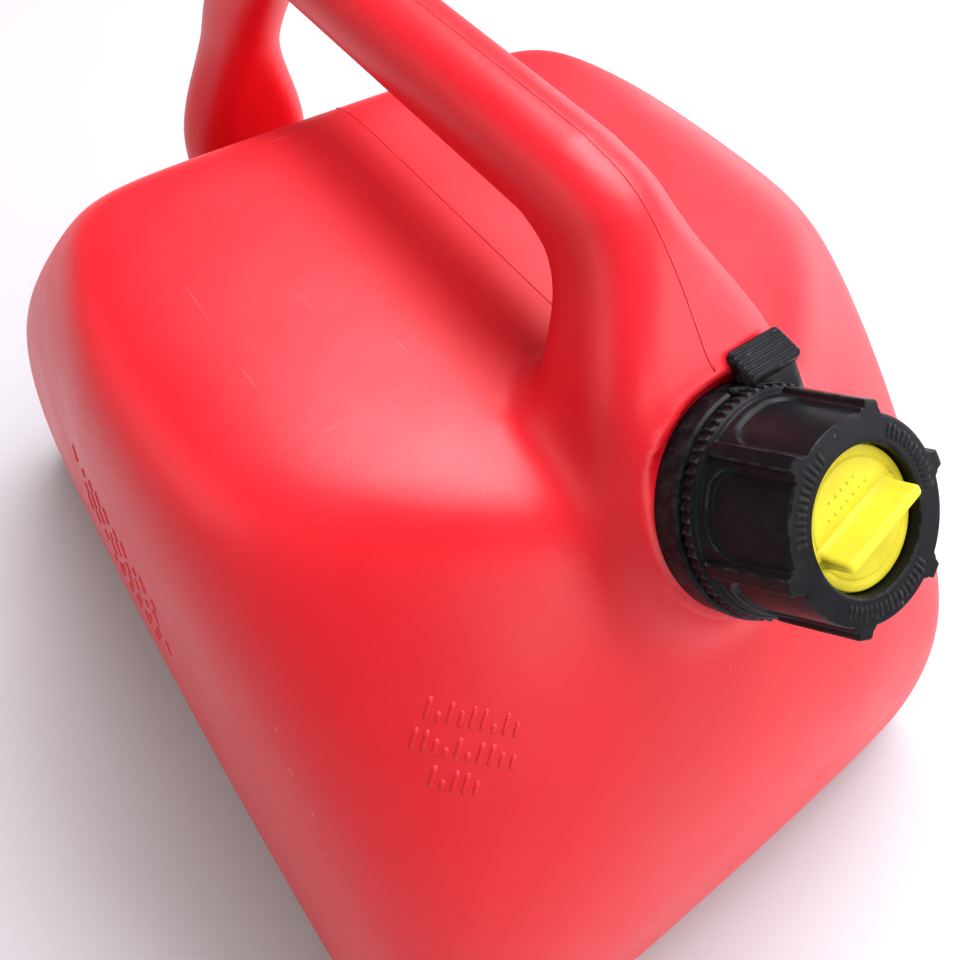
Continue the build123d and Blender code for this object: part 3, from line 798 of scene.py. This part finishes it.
def face_marks(angle, radius):
    """Groups of short radial strokes round the collar's face, as a height from 0 to 1."""
    height = np.zeros(angle.shape)
    for start, count in FACE_MARKS:
        place = np.mod(angle - start, 2 * pi) / MARK_STEP
        stroke = smoothstep(0.30, 0.22, np.abs(place - np.floor(place) - 0.5))
        tall = np.where(np.floor(place) % 3 == 1, 24.4, 25.2)
        height = np.maximum(height, stroke * (place < count) * smoothstep(21.8, 22.2, radius)
                            * smoothstep(tall + 0.2, tall - 0.2, radius))
    return height


def collar_relief(angle, radius, height):
    """Ribs, sunk windows between them, teeth round the flange and strokes on the face."""
    pitch = 2 * pi / RIB_COUNT
    from_rib = np.mod(angle - RIB_FIRST + pitch / 2, pitch) - pitch / 2
    outside = smoothstep(24.6, 27.8, radius) * smoothstep(14.3, 15.6, height)
    arc = np.abs(from_rib) * radius
    rib = smoothstep(RIB_HALF + 0.45, RIB_HALF - 0.45, arc)
    half_pitch = pitch / 2 * radius
    side = (half_pitch - arc) - (half_pitch - WINDOW_SIDE - WINDOW_CORNER)
    below = WINDOW_START + WINDOW_CORNER - height
    beyond = np.hypot(np.maximum(side, 0), np.maximum(below, 0))
    edge = beyond + np.minimum(np.maximum(side, below), 0) - WINDOW_CORNER
    window = smoothstep(0.55, -0.75, edge)
    moved = radius + outside * (rib * RIB_HEIGHT - window * WINDOW_DEPTH)
    tooth = np.mod(angle / (2 * pi) * TOOTH_COUNT, 1.0)
    saw = np.where(tooth < 0.7, tooth / 0.7, (1 - tooth) / 0.3)
    band = smoothstep(9.7, 10.2, height) * smoothstep(13.7, 13.2, height) * (radius > 31.4)
    moved = moved + TOOTH_HEIGHT * saw * band
    raised = height + 0.28 * face_marks(angle, radius) * (height > COLLAR_TOP - 0.05)
    return moved, raised


def build_collar():
    """Collar with its flange, its face and the hole for the stopper."""
    outline = rounded([
        (COLLAR_BORE, COLLAR_BOTTOM), (FLANGE_RADIUS, COLLAR_BOTTOM), (FLANGE_RADIUS, FLANGE_TOP),
        (COLLAR_FOOT, FLANGE_TOP + 0.9), (COLLAR_RIM, COLLAR_TOP), (FACE_HOLE, COLLAR_TOP),
        (FACE_HOLE, FACE_UNDERSIDE), (COLLAR_BORE, FACE_UNDERSIDE), (COLLAR_BORE, COLLAR_BOTTOM + 0.2),
    ], 0.9, 5)
    profile = resample(outline, 0.5)
    columns = 768
    collar = turned_object(
        "collar_moulding", profile, columns, collar_relief, black, "collar", "closure_black")
    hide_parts("screw_collar")


GRIP_ANGLE = radians(-77.0)
GRIP_HALF = 15.6
GRIP_SHIFT = (-1.0, -0.6)
GRIP_SECTION = ((4.2, 0.0), (2.9, 0.9), (2.2, 2.4), (1.5, 9.4), (1.1, 10.0))
GRIP_SINK = 0.4
GRIP_DRAWN_IN = 0.12
GRIP_END_WIDTH = 0.35
GRIP_END_FALL = 0.12
GRIP_FOOT_REACH = 0.6
STOPPER_FACE = 40.6
STOPPER_BOTTOM = 37.0
STOPPER_RADIUS = 18.9
STOPPER_FLANGE = 22.8
STROKE_ROWS = ((6.4, 7), (10.0, 5), (-7.5, 5))
STROKE_PITCH = 2.6
STROKE_SINK = 0.2


def build_grip():
    """Upright grip bar of one section that is drawn in at both ends, slightly sunk in the stopper."""
    outline = list(GRIP_SECTION) + [(-side, rise) for side, rise in GRIP_SECTION[::-1]]
    section = np.array(rounded(outline, 0.7, 4))
    foot = GRIP_SECTION[0][0] * smoothstep(1.5, 0.0, section[:, 1])
    sections = []
    for station in np.sin(np.linspace(-pi / 2, pi / 2, 57)):
        past = max(0.0, (abs(station) - 1 + GRIP_DRAWN_IN) / GRIP_DRAWN_IN)
        end = sqrt(max(0.0, 1 - past ** 2))
        along = station * (GRIP_HALF + GRIP_FOOT_REACH * foot * (1 - end)) + GRIP_SHIFT[0]
        across = section[:, 0] * (GRIP_END_WIDTH + (1 - GRIP_END_WIDTH) * end) + GRIP_SHIFT[1]
        height = section[:, 1] * (1 - GRIP_END_FALL * (1 - end)) + STOPPER_FACE - GRIP_SINK
        sections.append(along_neck(along * cos(GRIP_ANGLE) - across * sin(GRIP_ANGLE),
                                   along * sin(GRIP_ANGLE) + across * cos(GRIP_ANGLE), height))
    make_object("stopper_grip", *swept(sections), yellow, "stopper", "stopper_yellow")


def build_stopper():
    """Disc with a grooved face, its grip bar and short strokes beside the bar."""
    outline = rounded([
        (0.3, STOPPER_FACE), (15.6, STOPPER_FACE), (16.2, STOPPER_FACE - 0.5), (16.8, STOPPER_FACE + 0.1),
        (STOPPER_RADIUS, STOPPER_FACE), (STOPPER_RADIUS, FACE_UNDERSIDE), (STOPPER_FLANGE, FACE_UNDERSIDE),
        (STOPPER_FLANGE, STOPPER_BOTTOM), (0.3, STOPPER_BOTTOM),
    ], 0.5)
    disc = turned_object("stopper_moulding", resample(outline, 0.8), 192, None, yellow, "stopper",
                         "stopper_yellow", closed=False, capped=True)
    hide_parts("stopper_disc")
    build_grip()
    along = UP * cos(GRIP_ANGLE) + NEAR * sin(GRIP_ANGLE)
    across = NEAR * cos(GRIP_ANGLE) - UP * sin(GRIP_ANGLE)
    parts = []
    for row, count in STROKE_ROWS:
        for stroke in range(count):
            points, faces = plate_mesh(1.7, 1.1, 0.45, 0.35, 0.3, rings=5, around=24)
            place = (stroke - (count - 1) / 2) * STROKE_PITCH
            origin = SEAT + AXIS * (STOPPER_FACE - STROKE_SINK) + across * row + along * place
            parts.append((lay(points, origin, along, across, AXIS), faces))
    make_object("stopper_strokes", *join(parts), yellow, "stopper", "stopper_yellow")


PAD_RIDGES = 5
PAD_WIDTH = 20.6
PAD_THICKNESS = 3.8
PAD_DROP = 2.2
PAD_SIDE = 15.5
PAD_FRONT = np.array([33.6, 10.4])
PAD_BACK = np.array([41.6, 3.2])
ARM_ANGLES = (-45, -4)
ARM_INNER, ARM_OUTER = 30.4, 33.4
ARM_BOTTOM, ARM_TOP = 4.0, 9.0
WEB_SIDES = (5.9, 25.1)
WEB_INNER = 30.6
WEB_OUTER_BOTTOM, WEB_OUTER_TOP = 35.9, 33.4
WEB_BOTTOM, WEB_TOP = 4.1, 8.0


def tab_arm():
    """Curved arm that runs along the ring."""
    middle = (ARM_BOTTOM + ARM_TOP) / 2
    section = np.array(rounded([
        (ARM_INNER, middle), (ARM_INNER, ARM_BOTTOM), (ARM_OUTER, ARM_BOTTOM), (ARM_OUTER, ARM_TOP),
        (ARM_INNER, ARM_TOP), (ARM_INNER, middle),
    ], 0.5, 3)[:-1])
    angle = np.radians(np.linspace(*ARM_ANGLES, 24))
    return swept([along_neck(section[:, 0] * cos(a), section[:, 0] * sin(a), section[:, 1]) for a in angle])


def tab_web():
    """Web that joins the arm to the pad above it."""
    middle = 6.0
    sections = []
    for side in np.linspace(*WEB_SIDES, 14):
        inner = sqrt(WEB_INNER ** 2 - side ** 2)
        section = np.array(rounded([
            (inner, middle), (inner, WEB_BOTTOM), (WEB_OUTER_BOTTOM, WEB_BOTTOM),
            (WEB_OUTER_TOP, WEB_TOP), (inner, WEB_TOP), (inner, middle),
        ], 0.4, 3)[:-1])
        sections.append(along_neck(section[:, 0], np.full(len(section), -side), section[:, 1]))
    return swept(sections)


def tab_pad():
    """Sloping thumb pad with ridges across it."""
    run = (PAD_BACK - PAD_FRONT) / np.linalg.norm(PAD_BACK - PAD_FRONT)
    length = np.linalg.norm(PAD_BACK - PAD_FRONT) + 0.6

    def ridges(x, y):
        wave = np.cos(2 * pi * PAD_RIDGES * x / (length - 1.8))
        inside = smoothstep(length / 2 - 0.7, length / 2 - 1.3, np.abs(x))
        return 0.32 * smoothstep(-0.2, 0.8, wave) * inside

    points, faces = plate_mesh(length, PAD_WIDTH, PAD_THICKNESS, 1.6, 0.8, ridges, rings=56, around=200)
    along = UP * run[0] + AXIS * run[1]
    out = UP * -run[1] + AXIS * run[0]
    middle = (PAD_FRONT + PAD_BACK) / 2
    origin = SEAT + UP * middle[0] + AXIS * middle[1] - NEAR * PAD_SIDE - out * PAD_DROP
    return lay(points, origin, along, np.cross(out, along), out), faces


def build_tab():
    """Lock tab as one piece: its arm, its web and its pad."""
    tab = make_object("lock_tab_moulding", *join([tab_arm(), tab_web(), tab_pad()]), black, "lock_tab",
                      "closure_black")
    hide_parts("lock_tab")


build_tank()
build_neck()
build_seam()
build_relief()
build_collar()
build_stopper()
build_tab()

# ---------------------------------------------------------------------------------------------
# CAD nodes that keep their shape
# ---------------------------------------------------------------------------------------------
KEPT = {
    "lock_ring": ring_black,
    "stopper_gasket": rubber, "spout_gasket": rubber, "spout_base": spout_yellow,
    "flame_screen": steel, "spout_bellows": hose, "spout_nozzle": spout_yellow,
    "vent_tube": white, "tip_cap": black,
}
for node, material in KEPT.items():
    piece = frame["nodes"][node]
    for material_slot in piece.material_slots:
        material_slot.material = material

# ---------------------------------------------------------------------------------------------
# Floor, light and camera
# ---------------------------------------------------------------------------------------------
FLOOR_HALF = 6.0
FLOOR_FLAT = 2.5
FLOOR_GAP = 0.0005


def build_floor():
    """Wide pale floor whose far edges curl up gently."""
    mesh = bpy.data.meshes.new("studio_floor")
    grid = bmesh.new()
    bmesh.ops.create_grid(grid, x_segments=40, y_segments=40, size=FLOOR_HALF)
    for vertex in grid.verts:
        vertex.co.z = 0.02 * max(0.0, vertex.co.xy.length - FLOOR_FLAT) ** 2 - FLOOR_GAP
    grid.to_mesh(mesh)
    grid.free()
    mesh.shade_smooth()
    mesh.materials.append(floor_material())
    floor = bpy.data.objects.new("studio_floor", mesh)
    bpy.context.scene.collection.objects.link(floor)


COOL_WHITE = (0.95, 0.91, 1.0)


def add_light(name, place, target, size, power, colour=(1.0, 1.0, 1.0)):
    light = bpy.data.lights.new(name, "AREA")
    light.shape = "RECTANGLE"
    light.size, light.size_y = size
    light.energy = power
    light.color = colour
    lamp = bpy.data.objects.new(name, light)
    lamp.location = place
    lamp.visible_camera = False
    lamp.rotation_mode = "QUATERNION"
    lamp.rotation_quaternion = (Vector(target) - Vector(place)).to_track_quat("-Z", "Y")
    bpy.context.scene.collection.objects.link(lamp)


build_floor()
middle = (0.0, 0.0, 0.15)
add_light("overhead", (-0.25, 0.45, 1.55), middle, (1.15, 0.8), 42.0, COOL_WHITE)
add_light("front_fill", (1.7, -0.3, 0.9), middle, (1.2, 0.9), 13.0)
add_light("near_fill", (-0.6, -1.7, 0.9), middle, (1.3, 0.8), 6.5)
add_light("far_wall", (0.15, 2.0, 0.5), middle, (3.6, 1.0), 36.0, COOL_WHITE)
add_light("window", (1.15, 0.95, 0.95), middle, (1.2, 0.9), 14.0, COOL_WHITE)

world = bpy.data.worlds.new("studio")
bpy.context.scene.world = world
world.use_nodes = True
sky = world.node_tree.nodes["Background"]
sky.inputs["Color"].default_value = (0.95, 0.97, 1.0, 1.0)
sky.inputs["Strength"].default_value = 0.33
bpy.context.scene.view_settings.view_transform = "Standard"

CAMERA_PLACE = (0.2323, -0.1683, 0.4817)
CAMERA_RIGHT = (0.5994, 0.7978, 0.0649)
CAMERA_UP = (-0.6031, 0.3968, 0.692)
CAMERA_LENS = 38.47
CAMERA_SHIFT = (-0.041, -0.159)

camera = bpy.data.cameras.new("photo_view")
camera.sensor_width = 36.0
camera.lens = CAMERA_LENS
camera.shift_x, camera.shift_y = CAMERA_SHIFT
camera.clip_start = 0.01
viewer = bpy.data.objects.new("photo_view", camera)
right = Vector(CAMERA_RIGHT).normalized()
up = Vector(CAMERA_UP)
up = (up - right * up.dot(right)).normalized()
back = right.cross(up)
viewer.matrix_world = Matrix.Translation(CAMERA_PLACE) @ Matrix((right, up, back)).transposed().to_4x4()
bpy.context.scene.collection.objects.link(viewer)
bpy.context.scene.camera = viewer
